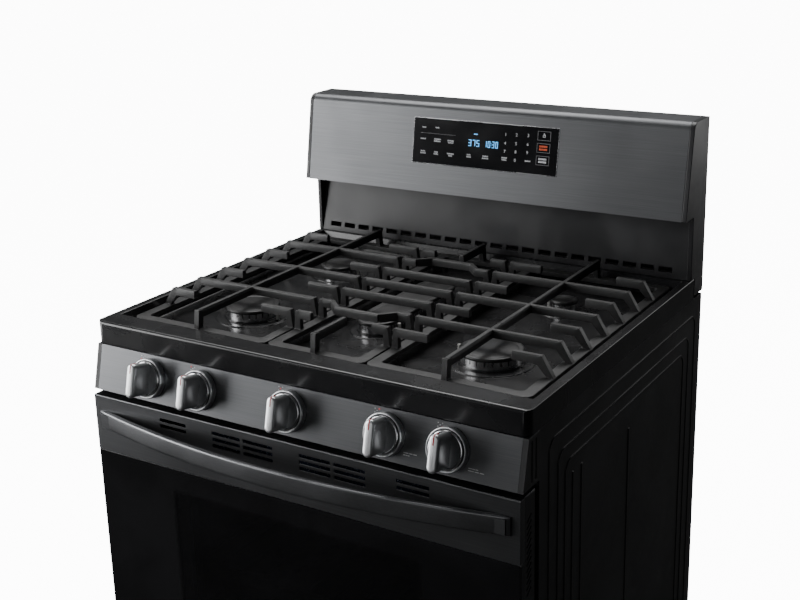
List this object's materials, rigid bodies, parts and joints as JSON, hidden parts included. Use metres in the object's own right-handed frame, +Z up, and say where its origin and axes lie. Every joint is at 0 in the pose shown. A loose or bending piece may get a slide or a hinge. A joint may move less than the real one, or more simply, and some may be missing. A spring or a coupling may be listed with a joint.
{
  "type": "freestanding gas range",
  "caption": "Freestanding gas range with oven door, bowed handle, storage drawer, cast grates over burners, front knobs and a raised back guard with display.",
  "frame": {"origin": "centre of the range's outline at floor level", "axes": "+X to the user's right, -Y to the front, +Z up"},
  "size_m": [0.757, 0.753, 1.183],
  "materials": {
    "panel_black": "satin black",
    "black_stainless": "brushed dark stainless",
    "enamel_black": "gloss black enamel",
    "enamel_blue": "speckled oven enamel",
    "galvanised": "galvanised sheet",
    "cast_iron": "matt black",
    "aluminium": "polished",
    "chrome": "bright",
    "knob_silver": "satin",
    "brass": "machined",
    "zinc": "zinc grey",
    "black_glass": "gloss black glass",
    "window_glass": "clear tinted",
    "lamp_glass": "clear",
    "ceramic": "white",
    "glass_wool": "fibrous",
    "gasket": "woven cord",
    "board": "circuit board green",
    "black_plastic": "matt"
  },
  "bodies": {
    "base": {"side_panel_left": "panel_black", "side_panel_right": "panel_black", "back_panel": "galvanised", "base_pan": "galvanised", "leveling_feet": "zinc", "oven_liner": "enamel_blue", "oven_floor": "enamel_blue", "oven_insulation": "glass_wool", "front_frame": "panel_black", "door_gasket": "gasket", "bake_burner": "zinc", "broil_burner": "zinc", "oven_lamp": "lamp_glass", "temperature_sensor": "chrome", "cooktop": "enamel_black", "manifold_pipe": "zinc", "gas_valves": "brass", "gas_regulator": "zinc", "burner_bases": "aluminium", "igniters": "ceramic", "control_panel": "black_stainless", "panel_end_caps": "black_plastic", "knob_bezels": "knob_silver", "drawer_runners": "galvanised", "guard_panel": "black_stainless", "display_glass": "black_glass", "guard_end_caps": "black_plastic", "rear_cover": "panel_black", "lower_guard": "panel_black", "control_board": "board", "cord_gland": "black_plastic"},
    "door": {"door_frame": "panel_black", "door_band": "black_stainless", "door_glass": "black_glass", "door_inner_panel": "enamel_blue", "door_inner_glass": "window_glass", "door_handle": "black_stainless", "door_hinges": "zinc"},
    "drawer": {"drawer_front": "black_stainless", "drawer_box": "galvanised"},
    "rack_lower": {"rack_lower": "chrome"},
    "rack_upper": {"rack_upper": "chrome"},
    "grate_left": {"grate_left": "cast_iron"},
    "grate_centre": {"grate_centre": "cast_iron"},
    "grate_right": {"grate_right": "cast_iron"},
    "cap_front_left": {"cap_front_left": "enamel_black"},
    "cap_front_right": {"cap_front_right": "enamel_black"},
    "cap_rear_left": {"cap_rear_left": "enamel_black"},
    "cap_rear_right": {"cap_rear_right": "enamel_black"},
    "cap_centre": {"cap_centre": "enamel_black"},
    "stem_1": {"stem_1": "brass"},
    "knob_1": {"knob_1": "knob_silver"},
    "stem_2": {"stem_2": "brass"},
    "knob_2": {"knob_2": "knob_silver"},
    "stem_3": {"stem_3": "brass"},
    "knob_3": {"knob_3": "knob_silver"},
    "stem_4": {"stem_4": "brass"},
    "knob_4": {"knob_4": "knob_silver"},
    "stem_5": {"stem_5": "brass"},
    "knob_5": {"knob_5": "knob_silver"}
  },
  "joints": [
    {"name": "oven_door", "type": "hinge", "parent": "base", "child": "door", "pos_m": [0, -0.3115, 0.29], "axis": [1, 0, 0], "range_deg": [0, 90]},
    {"name": "drawer_slide", "type": "slide", "parent": "base", "child": "drawer", "axis": [0, -1, 0], "range_m": [0, 0.38]},
    {"name": "rack_lower_slide", "type": "slide", "parent": "base", "child": "rack_lower", "axis": [0, -1, 0], "range_m": [0, 0.06]},
    {"name": "rack_upper_slide", "type": "slide", "parent": "base", "child": "rack_upper", "axis": [0, -1, 0], "range_m": [0, 0.06]},
    {"name": "grate_left_lift", "type": "slide", "parent": "base", "child": "grate_left", "axis": [0, 0, 1], "range_m": [0, 0.06]},
    {"name": "grate_centre_lift", "type": "slide", "parent": "base", "child": "grate_centre", "axis": [0, 0, 1], "range_m": [0, 0.06]},
    {"name": "grate_right_lift", "type": "slide", "parent": "base", "child": "grate_right", "axis": [0, 0, 1], "range_m": [0, 0.06]},
    {"name": "cap_front_left_lift", "type": "slide", "parent": "base", "child": "cap_front_left", "axis": [0, 0, 1], "range_m": [0, 0.012]},
    {"name": "cap_front_right_lift", "type": "slide", "parent": "base", "child": "cap_front_right", "axis": [0, 0, 1], "range_m": [0, 0.012]},
    {"name": "cap_rear_left_lift", "type": "slide", "parent": "base", "child": "cap_rear_left", "axis": [0, 0, 1], "range_m": [0, 0.012]},
    {"name": "cap_rear_right_lift", "type": "slide", "parent": "base", "child": "cap_rear_right", "axis": [0, 0, 1], "range_m": [0, 0.012]},
    {"name": "cap_centre_lift", "type": "slide", "parent": "base", "child": "cap_centre", "axis": [0, 0, 1], "range_m": [0, 0.012]},
    {"name": "knob_1_push", "type": "slide", "parent": "base", "child": "stem_1", "axis": [0, 0.9725, -0.2329], "range_m": [0, 0.0025], "stiffness_N_per_m": 1200},
    {"name": "knob_1_turn", "type": "hinge", "parent": "stem_1", "child": "knob_1", "pos_m": [-0.265, -0.317, 0.8405], "axis": [0, -0.9725, 0.2329], "range_deg": [0, 210]},
    {"name": "knob_2_push", "type": "slide", "parent": "base", "child": "stem_2", "axis": [0, 0.9725, -0.2329], "range_m": [0, 0.0025], "stiffness_N_per_m": 1200},
    {"name": "knob_2_turn", "type": "hinge", "parent": "stem_2", "child": "knob_2", "pos_m": [-0.165, -0.317, 0.8405], "axis": [0, -0.9725, 0.2329], "range_deg": [0, 210]},
    {"name": "knob_3_push", "type": "slide", "parent": "base", "child": "stem_3", "axis": [0, 0.9725, -0.2329], "range_m": [0, 0.0025], "stiffness_N_per_m": 1200},
    {"name": "knob_3_turn", "type": "hinge", "parent": "stem_3", "child": "knob_3", "pos_m": [0, -0.317, 0.8405], "axis": [0, -0.9725, 0.2329], "range_deg": [0, 210]},
    {"name": "knob_4_push", "type": "slide", "parent": "base", "child": "stem_4", "axis": [0, 0.9725, -0.2329], "range_m": [0, 0.0025], "stiffness_N_per_m": 1200},
    {"name": "knob_4_turn", "type": "hinge", "parent": "stem_4", "child": "knob_4", "pos_m": [0.165, -0.317, 0.8405], "axis": [0, -0.9725, 0.2329], "range_deg": [0, 210]},
    {"name": "knob_5_push", "type": "slide", "parent": "base", "child": "stem_5", "axis": [0, 0.9725, -0.2329], "range_m": [0, 0.0025], "stiffness_N_per_m": 1200},
    {"name": "knob_5_turn", "type": "hinge", "parent": "stem_5", "child": "knob_5", "pos_m": [0.265, -0.317, 0.8405], "axis": [0, -0.9725, 0.2329], "range_deg": [0, 210]}
  ]
}
